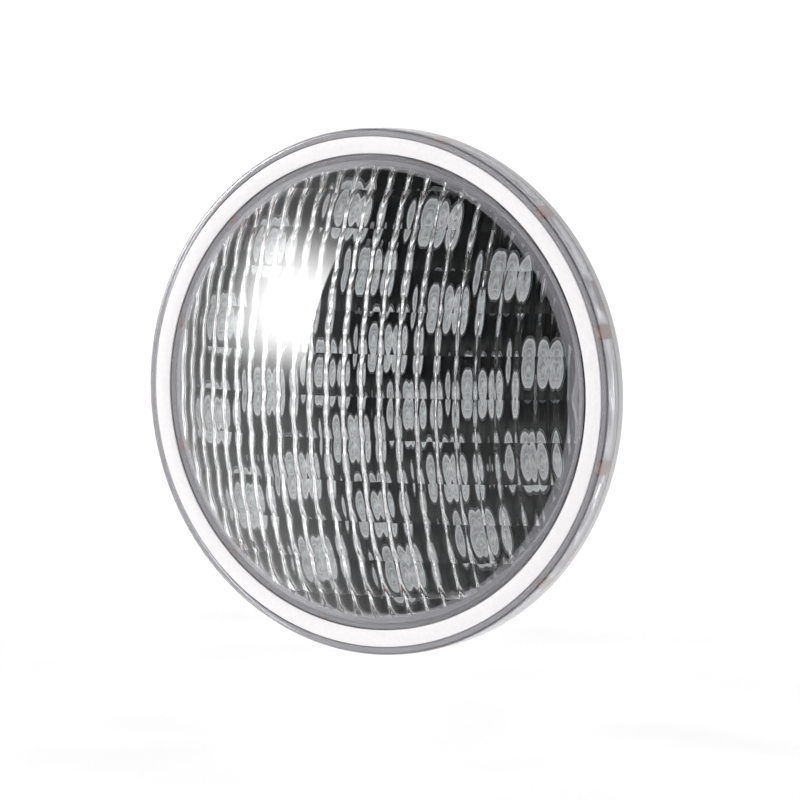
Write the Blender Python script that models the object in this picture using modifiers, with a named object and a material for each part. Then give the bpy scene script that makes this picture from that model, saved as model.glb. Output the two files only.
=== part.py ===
"""Underwater pool lamp of PAR56 size, made as an assembly of separate pieces.

The lamp's axis runs along Y: the front looks towards -Y, the terminals towards +Y.
The origin is the centre of the rim's rear seating face.
Shapes are made in the lamp's own frame, where z runs forwards along the axis and
the seating face is z = 0. The empty "lamp_frame" turns that frame into the world's.
"""
import math

import bmesh
import bpy
from mathutils import Matrix, Vector

MM = 0.001
GAP = 0.3 * MM                      # left between pieces that touch
BIG_STEPS = 48                      # facets round the large turned pieces

# rim
RIM_R = 88.9 * MM                   # 56 eighths of an inch across
RIM_FRONT = 11.0 * MM
FLANGE_FRONT = 3.5 * MM             # front face of the housing's flange
RIM_CHAMFER = 0.7 * MM

# front cover
DOME_SPHERE_R = 139.0 * MM
DOME_HEIGHT = 24.0 * MM             # above the rim's front face
COVER_WALL = 4.0 * MM
COVER_BORE_R = 75.5 * MM
TRIM_IN_R = 80.0 * MM
TRIM_OUT_R = 86.4 * MM
TRIM_THICK = 1.2 * MM

# rim screws
RIM_SCREWS = 12
RIM_SCREW_START = 15.0              # degrees
RIM_SCREW_CIRCLE_R = 83.2 * MM
RIM_SCREW_R = 2.5 * MM
RIM_SCREW_TIP = 8.3 * MM
RIM_HEAD_R = 4.4 * MM
RIM_HEAD_DEPTH = 1.9 * MM

# gasket
GROOVE_R = 78.2 * MM
GROOVE_WIDTH = 2.8 * MM
GROOVE_DEPTH = 2.2 * MM
GASKET_R = 0.95 * MM

# rear housing
DRUM_TOP_R = 77.5 * MM
DRUM_END_R = 76.5 * MM
DRUM_DEPTH = 14.0 * MM
BOWL_DEPTH = 62.0 * MM
BOWL_POWER = 1.8                    # how late the bowl curves in
BOWL_STEPS = 8
HOUSING_WALL = 2.8 * MM
MOUTH_R = 74.5 * MM
BOSS_R = 26.0 * MM
BOSS_DEPTH = 72.6 * MM
BOSS_BORE_R = 22.0 * MM
BOSS_FLOOR = 4.0 * MM
BARRIER_SIZE = Vector((1.8, 30.0, 5.0)) * MM

# led board, thermal pad and heat sink
BOARD_FRONT = -7.0 * MM
BOARD_R = 72.5 * MM
BOARD_THICK = 1.6 * MM
PAD_R = 68.0 * MM
PAD_THICK = 0.8 * MM
SINK_R = 68.0 * MM
SINK_BASE = 4.0 * MM
FINS = 18
FIN_IN_R = 38.0 * MM
FIN_OUT_R = 60.0 * MM
FIN_THICK = 1.6 * MM
FIN_HEIGHT = 9.0 * MM
HARNESS_HOLE_R = 4.0 * MM

# optics: number on the ring, ring radius and first angle in degrees
BOARD_TURN = 2.0
OPTIC_RINGS = ((4, 17.0 * MM, 67.5), (8, 39.0 * MM, 0.0), (12, 61.0 * MM, 7.5))
OPTIC_R = 9.8 * MM
OPTIC_FOOT_R = 5.2 * MM
OPTIC_TOP = 3.0 * MM
OPTIC_CROWN = 0.6 * MM
OPTIC_EDGE = 1.2 * MM
EMITTER_SIZE = Vector((3.5, 3.5, 0.7)) * MM

# screws through the board and the sink into the housing's pillars
SINK_SCREW_ANGLES = (90.0, 210.0, 330.0)
SINK_SCREW_CIRCLE_R = 50.0 * MM
SINK_SCREW_R = 1.5 * MM
SINK_SCREW_LENGTH = 15.0 * MM
SINK_HEAD_R = 2.75 * MM
SINK_HEAD_HEIGHT = 2.1 * MM
PILLAR_R = 4.0 * MM

# driver board
DRIVER_FRONT = -30.0 * MM
DRIVER_R = 40.0 * MM
DRIVER_THICK = 1.6 * MM
STANDOFF_ANGLES = (30.0, 150.0, 270.0)
STANDOFF_CIRCLE_R = 32.0 * MM
STANDOFF_R = 3.0 * MM
STANDOFF_STEM_R = 1.5 * MM
RECEIVER_SIZE = Vector((24.0, 5.0, 13.0)) * MM
RECEIVER_Y = -24.0 * MM

# rear terminals
TERMINAL_X = 15.0 * MM
POST_R = 3.0 * MM
POST_FLANGE_R = 6.5 * MM
POST_FLANGE = 1.7 * MM
POST_INSIDE = 3.0 * MM              # how far the post stands into the housing
THREAD_R = 1.9 * MM
WASHER_R = 4.8 * MM
WASHER_THICK = 1.0 * MM
TERMINAL_HEAD_R = 4.0 * MM
TERMINAL_HEAD = 3.1 * MM
TERMINAL_SHANK = 7.0 * MM
SLOT_WIDTH = 1.0 * MM
SLOT_DEPTH = 1.2 * MM

# wires
LEAD_R = 0.9 * MM
HARNESS_R = 1.8 * MM

# surfaces: colour, roughness, metallic and alpha
SURFACES = {
    "clear_cover": ((0.93, 0.95, 0.96), 0.05, 0.0, 0.35),
    "white_plastic": ((0.88, 0.87, 0.87), 0.35, 0.0, 1.0),
    "seal_rubber": ((0.05, 0.05, 0.05), 0.70, 0.0, 1.0),
    "brass": ((0.72, 0.50, 0.27), 0.30, 1.0, 1.0),
    "steel": ((0.62, 0.62, 0.64), 0.28, 1.0, 1.0),
    "aluminium": ((0.75, 0.76, 0.78), 0.38, 1.0, 1.0),
    "black_board": ((0.02, 0.02, 0.022), 0.40, 0.0, 1.0),
    "green_board": ((0.03, 0.16, 0.07), 0.40, 0.0, 1.0),
    "optic": ((0.90, 0.92, 0.94), 0.12, 0.0, 0.35),
    "thermal_pad": ((0.45, 0.50, 0.56), 0.80, 0.0, 1.0),
    "nylon": ((0.82, 0.81, 0.76), 0.50, 0.0, 1.0),
    "lead_red": ((0.55, 0.03, 0.03), 0.55, 0.0, 1.0),
    "lead_black": ((0.03, 0.03, 0.03), 0.55, 0.0, 1.0),
}


def clear_scene():
    for obj in list(bpy.data.objects):
        bpy.data.objects.remove(obj, do_unlink=True)


def make_collection(name):
    collection = bpy.data.collections.new(name)
    bpy.context.scene.collection.children.link(collection)
    return collection


def surface(name):
    """The named Principled material, made the first time it is asked for."""
    if name in bpy.data.materials:
        return bpy.data.materials[name]
    colour, roughness, metallic, alpha = SURFACES[name]
    material = bpy.data.materials.new(name)
    material.use_nodes = True
    shader = material.node_tree.nodes["Principled BSDF"]
    shader.inputs["Base Color"].default_value = (*colour, 1.0)
    shader.inputs["Roughness"].default_value = roughness
    shader.inputs["Metallic"].default_value = metallic
    shader.inputs["Alpha"].default_value = alpha
    return material


def polar(radius, degrees):
    angle = math.radians(degrees)
    return Vector((radius * math.cos(angle), radius * math.sin(angle), 0.0))


def ring_points(count, radius, start):
    return [polar(radius, start + 360.0 * i / count) for i in range(count)]


class Lamp:
    """The collections and the turned frame that every piece is placed in."""

    def __init__(self):
        self.parts = make_collection("underwater_pool_light")
        self.cutters = make_collection("cutters")
        self.frame = bpy.data.objects.new("lamp_frame", None)
        self.frame.rotation_euler = (math.radians(90), 0, 0)
        self.parts.objects.link(self.frame)

    def place(self, name, data, look=None, at=(0, 0, 0)):
        """Add an object: a part when it has a look, a cutter when it has none."""
        obj = bpy.data.objects.new(name, data)
        obj.parent = self.frame
        obj.location = at
        if look:
            data.materials.append(surface(look))
            self.parts.objects.link(obj)
        else:
            self.cutters.objects.link(obj)
            obj.hide_render = True
            obj.display_type = "WIRE"
        return obj

    def turned(self, name, profile, look=None, at=(0, 0, 0), steps=12):
        """A solid of revolution; the (r, z) profile runs down its outer side."""
        mesh = bpy.data.meshes.new(name)
        last = len(profile) - 1
        edges = [(i, i + 1) for i in range(last)]
        if profile[0][0] > 0:
            edges.append((last, 0))
        mesh.from_pydata([(r, 0, z) for r, z in profile], edges, [])
        obj = self.place(name, mesh, look, at)
        screw = obj.modifiers.new("turn", "SCREW")
        screw.steps = steps
        screw.render_steps = steps
        screw.use_merge_vertices = True
        screw.merge_threshold = 0.00001
        return obj

    def boxes(self, name, size, places, look=None):
        """Boxes of one size; a place is a centre and a turn about z in degrees."""
        mesh = bpy.data.meshes.new(name)
        cage = bmesh.new()
        for centre, turn in places:
            new = bmesh.ops.create_cube(cage, size=1.0)["verts"]
            bmesh.ops.scale(cage, vec=size, verts=new)
            bmesh.ops.rotate(cage, verts=new, matrix=Matrix.Rotation(math.radians(turn), 3, "Z"))
            bmesh.ops.translate(cage, vec=centre, verts=new)
        cage.to_mesh(mesh)
        cage.free()
        return self.place(name, mesh, look)

    def rods(self, name, radius, bottom, top, points, look=None, sides=10, top_radius=None):
        """Upright cylinders or cones at points, all in one mesh."""
        mesh = bpy.data.meshes.new(name)
        cage = bmesh.new()
        end_radius = radius if top_radius is None else top_radius
        for point in points:
            new = bmesh.ops.create_cone(cage, cap_ends=True, segments=sides, radius1=radius,
                                        radius2=end_radius, depth=top - bottom)["verts"]
            middle = Vector((point.x, point.y, (bottom + top) / 2))
            bmesh.ops.translate(cage, vec=middle, verts=new)
        cage.to_mesh(mesh)
        cage.free()
        return self.place(name, mesh, look)

    def wire(self, name, points, radius, look):
        """A round wire on a smooth curve through a few points."""
        curve = bpy.data.curves.new(name, "CURVE")
        curve.dimensions = "3D"
        curve.bevel_depth = radius
        curve.bevel_resolution = 2
        curve.use_fill_caps = True
        route = smooth_route(points, 3)
        spline = curve.splines.new("POLY")
        spline.points.add(len(route) - 1)
        for point, place in zip(spline.points, route):
            point.co = (*place, 1.0)
        return self.place(name, curve, look)


def smooth_route(points, between):
    """Points read from a Catmull-Rom curve through the given ones."""
    ends = [2 * points[0] - points[1], *points, 2 * points[-1] - points[-2]]
    route = []
    for a, b, c, d in zip(ends, ends[1:], ends[2:], ends[3:]):
        for i in range(between):
            t = i / between
            route.append(0.5 * (2 * b + (c - a) * t + (2 * a - 5 * b + 4 * c - d) * t * t
                                + (3 * b - 3 * c + d - a) * t ** 3))
    route.append(points[-1].copy())
    return route


def combine(target, tool, operation="DIFFERENCE"):
    modifier = target.modifiers.new(tool.name, "BOOLEAN")
    modifier.operation = operation
    modifier.object = tool


def dome(sphere_r, centre_z, foot_r, count):
    """Points of a spherical cap, from its top on the axis down to radius foot_r."""
    end = math.asin(foot_r / sphere_r)
    angles = [end * i / count for i in range(count + 1)]
    return [(sphere_r * math.sin(a), centre_z + sphere_r * math.cos(a)) for a in angles]


def bowl(inset, count):
    """The bowl's outline from the drum to the boss, moved in by inset along its normal."""
    depth = BOWL_DEPTH - DRUM_DEPTH
    fall = DRUM_END_R - BOSS_R
    points = []
    for i in range(count + 1):
        s = i / count
        slope = fall * BOWL_POWER * s ** (BOWL_POWER - 1) / depth
        length = math.hypot(1.0, slope)
        radius = DRUM_END_R - fall * s ** BOWL_POWER - inset / length
        points.append((radius, -DRUM_DEPTH - depth * s + inset * slope / length))
    return points


def front_cover(lamp):
    """The clear domed lens and its rim, with a recess for the trim ring."""
    centre = RIM_FRONT + DOME_HEIGHT - DOME_SPHERE_R
    rise = RIM_FRONT - centre
    foot = math.sqrt(DOME_SPHERE_R ** 2 - rise ** 2)
    recess = RIM_FRONT - TRIM_THICK - GAP
    rear = FLANGE_FRONT + GAP
    outside = dome(DOME_SPHERE_R, centre, foot, 7)
    rim = [(TRIM_IN_R, RIM_FRONT), (TRIM_IN_R, recess), (TRIM_OUT_R, recess),
           (TRIM_OUT_R, RIM_FRONT), (RIM_R - RIM_CHAMFER, RIM_FRONT),
           (RIM_R, RIM_FRONT - RIM_CHAMFER), (RIM_R, rear), (COVER_BORE_R, rear)]
    inside = dome(DOME_SPHERE_R - COVER_WALL, centre, COVER_BORE_R, 7)
    cover = lamp.turned("front_cover", outside + rim + inside[::-1], "clear_cover",
                        steps=BIG_STEPS)
    holes = lamp.rods("cover_holes", RIM_SCREW_R + GAP, rear - 1 * MM, RIM_SCREW_TIP + GAP,
                      ring_points(RIM_SCREWS, RIM_SCREW_CIRCLE_R, RIM_SCREW_START))
    combine(cover, holes)


def trim_ring(lamp):
    inner = TRIM_IN_R + GAP
    outer = TRIM_OUT_R - GAP
    back = RIM_FRONT - TRIM_THICK
    profile = [(inner, RIM_FRONT), (outer, RIM_FRONT), (outer, back), (inner, back)]
    lamp.turned("trim_ring", profile, "white_plastic", steps=BIG_STEPS)


def cover_gasket(lamp):
    middle = FLANGE_FRONT - GASKET_R
    sides = 6
    profile = []
    for i in range(sides):
        angle = math.radians(120) - 2 * math.pi * i / sides
        profile.append((GROOVE_R + GASKET_R * math.cos(angle),
                        middle + GASKET_R * math.sin(angle)))
    lamp.turned("cover_gasket", profile, "seal_rubber", steps=BIG_STEPS)


def rear_housing(lamp):
    """The moulded bowl: flange with gasket groove, drum, bowl, boss and inner pillars."""
    groove_in = GROOVE_R - GROOVE_WIDTH / 2
    groove_out = GROOVE_R + GROOVE_WIDTH / 2
    groove_floor = FLANGE_FRONT - GROOVE_DEPTH
    edge = 1.0 * MM
    flange = [(0, FLANGE_FRONT), (groove_in, FLANGE_FRONT), (groove_in, groove_floor),
              (groove_out, groove_floor), (groove_out, FLANGE_FRONT), (RIM_R, FLANGE_FRONT),
              (RIM_R, RIM_CHAMFER), (RIM_R - RIM_CHAMFER, 0), (DRUM_TOP_R, 0)]
    boss = [(BOSS_R, edge - BOSS_DEPTH), (BOSS_R - edge, -BOSS_DEPTH), (0, -BOSS_DEPTH)]
    housing = lamp.turned("rear_housing", flange + bowl(0, BOWL_STEPS) + boss, "white_plastic",
                          steps=BIG_STEPS)

    mouth = FLANGE_FRONT + 1 * MM
    floor = BOSS_FLOOR - BOSS_DEPTH
    inside = [p for p in bowl(HOUSING_WALL, BOWL_STEPS) if p[0] > BOSS_BORE_R]
    cavity = lamp.turned("housing_cavity", [(0, mouth), (MOUTH_R, mouth), (MOUTH_R, 0), *inside,
                                            (BOSS_BORE_R, inside[-1][1]), (BOSS_BORE_R, floor),
                                            (0, floor)], steps=BIG_STEPS)
    places = [polar(SINK_SCREW_CIRCLE_R, a) for a in SINK_SCREW_ANGLES]
    pillar_top = sink_back() - GAP
    pillars = lamp.rods("pillars", PILLAR_R, -BOWL_DEPTH, pillar_top, places)
    combine(cavity, pillars)
    combine(housing, cavity)

    screw_end = BOARD_FRONT + GAP - SINK_SCREW_LENGTH
    threads = lamp.rods("pillar_holes", SINK_SCREW_R + GAP, screw_end - 1 * MM,
                        pillar_top + 1 * MM, places)
    combine(housing, threads)

    screws = ring_points(RIM_SCREWS, RIM_SCREW_CIRCLE_R, RIM_SCREW_START)
    clearance = RIM_SCREW_R + GAP
    shanks = lamp.rods("flange_holes", clearance, -1 * MM, FLANGE_FRONT + 1 * MM, screws)
    combine(housing, shanks)
    sink_depth = RIM_HEAD_DEPTH + GAP
    wide = clearance + sink_depth + 1 * MM
    countersinks = lamp.rods("countersinks", wide, -1 * MM, sink_depth, screws,
                             top_radius=clearance)
    combine(housing, countersinks)

    posts = [Vector((TERMINAL_X, 0, 0)), Vector((-TERMINAL_X, 0, 0))]
    post_holes = lamp.rods("post_holes", POST_R + GAP, -BOSS_DEPTH - 1 * MM, floor + 1 * MM,
                           posts)
    combine(housing, post_holes)
    sunk = 1 * MM
    middle = -BOSS_DEPTH + sunk - BARRIER_SIZE.z / 2
    barrier = lamp.boxes("barrier", BARRIER_SIZE, [(Vector((0, 0, middle)), 0)])
    combine(housing, barrier, "UNION")


def board_back():
    return BOARD_FRONT - BOARD_THICK


def pad_back():
    return board_back() - GAP - PAD_THICK


def sink_front():
    return pad_back() - GAP


def sink_back():
    return sink_front() - SINK_BASE


def optic_points():
    points = []
    for count, radius, start in OPTIC_RINGS:
        points += ring_points(count, radius, start + BOARD_TURN)
    return points


def led_board(lamp):
    """The round circuit board with its emitters soldered on."""
    profile = [(0, BOARD_FRONT), (BOARD_R, BOARD_FRONT), (BOARD_R, board_back()),
               (0, board_back())]
    board = lamp.turned("led_board", profile, "black_board", steps=BIG_STEPS)
    sunk = 0.3 * MM
    size = EMITTER_SIZE + Vector((0, 0, sunk))
    rise = BOARD_FRONT + EMITTER_SIZE.z - size.z / 2
    emitters = lamp.boxes("emitters", size, [(p + Vector((0, 0, rise)), 0)
                                             for p in optic_points()])
    combine(board, emitters, "UNION")
    combine(board, screw_holes(lamp, "board_holes"))


def screw_holes(lamp, name):
    places = [polar(SINK_SCREW_CIRCLE_R, a) for a in SINK_SCREW_ANGLES]
    return lamp.rods(name, SINK_SCREW_R + GAP, sink_back() - 1 * MM, BOARD_FRONT + 1 * MM,
                     places)


def led_optics(lamp):
    """One clear collimating lens over each emitter."""
    foot = BOARD_FRONT + EMITTER_SIZE.z + GAP
    shoulder = OPTIC_TOP - OPTIC_CROWN
    profile = [(0, OPTIC_TOP), (OPTIC_R, shoulder), (OPTIC_R, shoulder - OPTIC_EDGE),
               (OPTIC_FOOT_R, foot), (0, foot)]
    for i, point in enumerate(optic_points(), 1):
        lamp.turned(f"led_optic_{i:02d}", profile, "optic", at=point)


def thermal_pad(lamp):
    front = board_back() - GAP
    profile = [(HARNESS_HOLE_R, front), (PAD_R, front), (PAD_R, pad_back()),
               (HARNESS_HOLE_R, pad_back())]
    pad = lamp.turned("thermal_pad", profile, "thermal_pad", steps=BIG_STEPS)
    combine(pad, screw_holes(lamp, "pad_holes"))


def heat_sink(lamp):
    """An aluminium disc with radial fins and a hole for the led harness."""
    profile = [(HARNESS_HOLE_R, sink_front()), (SINK_R, sink_front()), (SINK_R, sink_back()),
               (HARNESS_HOLE_R, sink_back())]
    sink = lamp.turned("heat_sink", profile, "aluminium", steps=BIG_STEPS)
    sunk = 1 * MM
    size = Vector((FIN_OUT_R - FIN_IN_R, FIN_THICK, FIN_HEIGHT + sunk))
    middle = sink_back() + sunk - size.z / 2
    fins = []
    for i in range(FINS):
        turn = 360.0 * i / FINS
        fins.append((polar((FIN_IN_R + FIN_OUT_R) / 2, turn) + Vector((0, 0, middle)), turn))
    combine(sink, lamp.boxes("fins", size, fins), "UNION")
    combine(sink, screw_holes(lamp, "sink_holes"))
    stems = [polar(STANDOFF_CIRCLE_R, a) for a in STANDOFF_ANGLES]
    combine(sink, lamp.rods("stem_holes", STANDOFF_STEM_R + GAP, sink_back() - 1 * MM,
                            sink_back() + 3 * MM, stems))


def sink_screws(lamp):
    seat = BOARD_FRONT + GAP
    top = seat + SINK_HEAD_HEIGHT
    tip = seat - SINK_SCREW_LENGTH
    profile = [(0, top), (SINK_HEAD_R - 0.4 * MM, top), (SINK_HEAD_R, top - 0.6 * MM),
               (SINK_HEAD_R, seat), (SINK_SCREW_R, seat), (SINK_SCREW_R, tip), (0, tip)]
    for i, angle in enumerate(SINK_SCREW_ANGLES, 1):
        lamp.turned(f"sink_screw_{i}", profile, "steel", at=polar(SINK_SCREW_CIRCLE_R, angle))


def driver_board(lamp):
    """The controller board with its soldered parts: capacitor, choke and rectifier."""
    back = DRIVER_FRONT - DRIVER_THICK
    profile = [(0, DRIVER_FRONT), (DRIVER_R, DRIVER_FRONT), (DRIVER_R, back), (0, back)]
    board = lamp.turned("driver_board", profile, "green_board", steps=24)
    sunk = 0.4 * MM
    capacitor = lamp.rods("capacitor", 9 * MM, back - 20 * MM, back + sunk,
                          [Vector((-15, 8, 0)) * MM], sides=16)
    choke = lamp.rods("choke", 7 * MM, back - 9 * MM, back + sunk,
                      [Vector((15, 12, 0)) * MM], sides=12)
    size = Vector((15.0, 5.0, 10.0)) * MM
    middle = Vector((17 * MM, -8 * MM, back + sunk - size.z / 2))
    rectifier = lamp.boxes("rectifier", size, [(middle, 0)])
    for solid in (capacitor, choke, rectifier):
        combine(board, solid, "UNION")
    stems = [polar(STANDOFF_CIRCLE_R, a) for a in STANDOFF_ANGLES]
    combine(board, lamp.rods("driver_holes", STANDOFF_STEM_R + GAP, back - 1 * MM,
                             DRIVER_FRONT + 1 * MM, stems))


def rf_receiver(lamp):
    """The radio receiver's small board, standing on the driver board."""
    top = DRIVER_FRONT - DRIVER_THICK - GAP
    board_size = Vector((RECEIVER_SIZE.x, 1.2 * MM, RECEIVER_SIZE.z))
    middle = Vector((0, RECEIVER_Y, top - RECEIVER_SIZE.z / 2))
    board = lamp.boxes("rf_receiver", board_size, [(middle, 0)], "green_board")
    can_size = Vector((12.0, 3.0, 8.0)) * MM
    shift = Vector((0, 1.8 * MM, 0))
    combine(board, lamp.boxes("receiver_can", can_size, [(middle + shift, 0)]), "UNION")


def driver_standoffs(lamp):
    """Nylon snap-in spacers between the heat sink and the driver board."""
    top = sink_back() - GAP
    foot = DRIVER_FRONT + GAP
    snap = DRIVER_FRONT - DRIVER_THICK - GAP
    profile = [(0, top + 2.8 * MM), (STANDOFF_STEM_R, top + 2.8 * MM), (STANDOFF_STEM_R, top),
               (STANDOFF_R, top), (STANDOFF_R, foot), (STANDOFF_STEM_R, foot),
               (STANDOFF_STEM_R, snap), (2.3 * MM, snap), (1.0 * MM, snap - 1.6 * MM),
               (0, snap - 1.6 * MM)]
    for i, angle in enumerate(STANDOFF_ANGLES, 1):
        lamp.turned(f"driver_standoff_{i}", profile, "nylon",
                    at=polar(STANDOFF_CIRCLE_R, angle), steps=6)


def rim_screws(lamp):
    """Countersunk screws from the back of the flange into the clear rim."""
    back = 0.2 * MM
    neck = back + RIM_HEAD_DEPTH
    profile = [(0, RIM_SCREW_TIP), (RIM_SCREW_R - 0.5 * MM, RIM_SCREW_TIP),
               (RIM_SCREW_R, RIM_SCREW_TIP - 0.5 * MM), (RIM_SCREW_R, neck),
               (RIM_HEAD_R, back), (0, back)]
    points = ring_points(RIM_SCREWS, RIM_SCREW_CIRCLE_R, RIM_SCREW_START)
    for i, point in enumerate(points, 1):
        lamp.turned(f"rim_screw_{i:02d}", profile, "brass", at=point, steps=10)


def terminal(lamp, letter, x):
    """A through post, a captive washer and the clamping screw."""
    at = (x, 0, 0)
    bore_r = THREAD_R + GAP
    inner = BOSS_FLOOR - BOSS_DEPTH + POST_INSIDE
    shoulder = -BOSS_DEPTH - GAP
    land = shoulder - POST_FLANGE
    bore_end = land + TERMINAL_SHANK
    post = [(0, inner), (POST_R, inner), (POST_R, shoulder), (POST_FLANGE_R, shoulder),
            (POST_FLANGE_R, land), (bore_r, land), (bore_r, bore_end), (0, bore_end)]
    lamp.turned(f"terminal_post_{letter}", post, "brass", at, 16)

    washer_top = land - GAP
    washer_back = washer_top - WASHER_THICK
    washer = [(bore_r, washer_top), (WASHER_R, washer_top), (WASHER_R, washer_back),
              (bore_r, washer_back)]
    lamp.turned(f"terminal_washer_{letter}", washer, "steel", at, 16)

    seat = washer_back - GAP
    back = seat - TERMINAL_HEAD
    tip = seat + TERMINAL_SHANK
    screw = [(0, tip), (THREAD_R, tip), (THREAD_R, seat), (TERMINAL_HEAD_R, seat),
             (TERMINAL_HEAD_R, back + 0.8 * MM), (TERMINAL_HEAD_R - 0.8 * MM, back), (0, back)]
    head = lamp.turned(f"terminal_screw_{letter}", screw, "steel", at, 16)
    slot_size = Vector((TERMINAL_HEAD_R * 3, SLOT_WIDTH, SLOT_DEPTH * 2))
    slot = lamp.boxes(f"slot_{letter}", slot_size, [(Vector((x, 0, back)), 0)])
    combine(head, slot)


def wires(lamp):
    """Supply leads from the driver board to the posts, and the led board's harness."""
    start = DRIVER_FRONT - DRIVER_THICK - GAP
    end = BOSS_FLOOR - BOSS_DEPTH + POST_INSIDE + GAP
    for letter, side, look in (("a", 1, "lead_red"), ("b", -1, "lead_black")):
        route = [(8, -14, start / MM), (8, -14, start / MM - 6), (10, -11, -46), (14, -5, -56),
                 (15, 0, end / MM + 3), (15, 0, end / MM)]
        points = [Vector((side * x, y, z)) * MM for x, y, z in route]
        lamp.wire(f"supply_lead_{letter}", points, LEAD_R, look)
    top = board_back() - GAP
    low = DRIVER_FRONT + GAP
    run = [Vector((0, 0, top)), Vector((0, 0, top - 4 * MM)),
           Vector((1.5 * MM, 0, (top + low) / 2)), Vector((0, 0, low + 3 * MM)),
           Vector((0, 0, low))]
    lamp.wire("led_harness", run, HARNESS_R, "lead_black")


def shade(lamp):
    """Make each part its final mesh and shade its round surfaces smooth."""
    bpy.context.view_layer.update()
    graph = bpy.context.evaluated_depsgraph_get()
    solids = [obj for obj in lamp.parts.objects if obj.type == "MESH"]
    meshes = [bpy.data.meshes.new_from_object(obj.evaluated_get(graph)) for obj in solids]
    for obj, mesh in zip(solids, meshes):
        obj.modifiers.clear()
        obj.data = mesh
        mesh.name = obj.name
        mesh.shade_smooth()
        mesh.set_sharp_from_angle(angle=math.radians(35))


def main():
    clear_scene()
    lamp = Lamp()
    front_cover(lamp)
    trim_ring(lamp)
    cover_gasket(lamp)
    rear_housing(lamp)
    led_board(lamp)
    led_optics(lamp)
    thermal_pad(lamp)
    heat_sink(lamp)
    sink_screws(lamp)
    driver_board(lamp)
    rf_receiver(lamp)
    driver_standoffs(lamp)
    rim_screws(lamp)
    terminal(lamp, "a", TERMINAL_X)
    terminal(lamp, "b", -TERMINAL_X)
    wires(lamp)
    shade(lamp)


main()
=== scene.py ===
"""Looks for the underwater pool light: detailed pieces, materials, studio and camera.

Shapes are made in the lamp's own frame, where z runs forwards along the axis and the
rim's rear seating face is z = 0, and are then turned into the row frame (z goes to -Y).
"""

import math

import bmesh
import bpy
import numpy as np
from mathutils import Matrix, Vector


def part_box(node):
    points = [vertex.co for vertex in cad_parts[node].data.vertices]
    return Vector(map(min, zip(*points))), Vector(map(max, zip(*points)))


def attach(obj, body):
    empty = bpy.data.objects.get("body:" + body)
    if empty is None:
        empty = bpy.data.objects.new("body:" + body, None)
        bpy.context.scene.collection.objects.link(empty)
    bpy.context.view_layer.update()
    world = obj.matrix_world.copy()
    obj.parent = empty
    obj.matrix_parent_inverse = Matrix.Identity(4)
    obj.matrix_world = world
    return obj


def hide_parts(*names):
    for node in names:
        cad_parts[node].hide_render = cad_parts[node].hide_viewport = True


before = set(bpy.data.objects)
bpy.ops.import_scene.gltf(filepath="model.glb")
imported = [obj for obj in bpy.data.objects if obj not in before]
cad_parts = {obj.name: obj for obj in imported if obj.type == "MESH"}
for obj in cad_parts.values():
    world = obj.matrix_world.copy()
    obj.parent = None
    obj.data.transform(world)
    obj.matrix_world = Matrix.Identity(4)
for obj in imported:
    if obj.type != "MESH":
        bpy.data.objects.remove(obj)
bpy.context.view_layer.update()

MM = 0.001
GAP = 0.3 * MM                    # left between pieces that touch
OVER = 1.0 * MM                   # how far a cutter runs past what it cuts
TO_ROW = Matrix.Rotation(math.radians(90), 4, "X")
BODY = "lamp_body"

# sizes read from the frame
COVER_LOW, COVER_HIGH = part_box("front_cover")
RIM_R = COVER_HIGH.x
DOME_TOP = -COVER_LOW.y
RING_LOW, RING_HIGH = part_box("trim_ring")
RIM_FRONT = -RING_LOW.y

# front cover
DOME_SPHERE_R = 139.0 * MM
COVER_WALL = 4.0 * MM
COVER_BORE_R = 75.5 * MM
TRIM_IN_R = 80.0 * MM
TRIM_OUT_R = 86.4 * MM
TRIM_THICK = 1.2 * MM
RIM_REAR = 3.6 * MM
FLUTE_PITCH = 6.53 * MM
FLUTE_GROOVE_R = 3.1 * MM
FLUTE_CREST = 1.1 * MM            # half the width of the rounded crest between two flutes
ROW_PITCH = 14.1 * MM
ROW_GROOVE_R = 21.0 * MM
ROW_CREST = 0.05 * MM
RIDGE_DROP = 0.6 * MM             # how far the ridges stand in from the plain inner dome
FLUTE_CELLS = 12                  # flutes each side of the middle
ROW_CELLS = 6                     # rows above the middle, and as many below it
FLUTE_CUTS = 24                   # facets across one flute
ROW_CUTS = 7
COVER_EDGE = 1.3 * MM             # rounding of the rim's front edge

# rear housing and gasket groove
FLANGE_FRONT = 3.5 * MM
GROOVE_R = 78.2 * MM
GROOVE_WIDTH = 2.8 * MM
GROOVE_DEPTH = 2.2 * MM
DRUM_TOP_R = 77.5 * MM
DRUM_END_R = 76.5 * MM
DRUM_DEPTH = 14.0 * MM
BOWL_DEPTH = 62.0 * MM
BOWL_POWER = 1.8                  # how late the bowl curves in
HOUSING_WALL = 2.8 * MM
MOUTH_R = 74.5 * MM
BOSS_R = 26.0 * MM
BOSS_DEPTH = 72.6 * MM
BOSS_BORE_R = 22.0 * MM
BOSS_FLOOR = 4.0 * MM
BARRIER_SIZE = Vector((1.8, 30.0, 4.0)) * MM      # z is its height above the boss
PILLAR_R = 4.0 * MM               # under each sink screw, inside the bowl
PILLAR_TOP = -14.3 * MM
PILLAR_BORE_R = 1.8 * MM

# rim screws
RIM_SCREWS = 12
RIM_SCREW_START = 15.0            # degrees
RIM_SCREW_CIRCLE_R = 83.2 * MM
RIM_SCREW_R = 2.5 * MM
RIM_HEAD_R = 4.4 * MM
RIM_HEAD_DEPTH = 1.9 * MM
RIM_HEAD_BACK = 0.2 * MM          # how deep the head lies in its seat
RECESS_ARM = 2.2 * MM             # half the span of the cross recess, and its depth
RECESS_WIDTH = 0.75 * MM
RECESS_TURN = 37.0                # degrees from one screw's recess to the next one's

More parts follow.
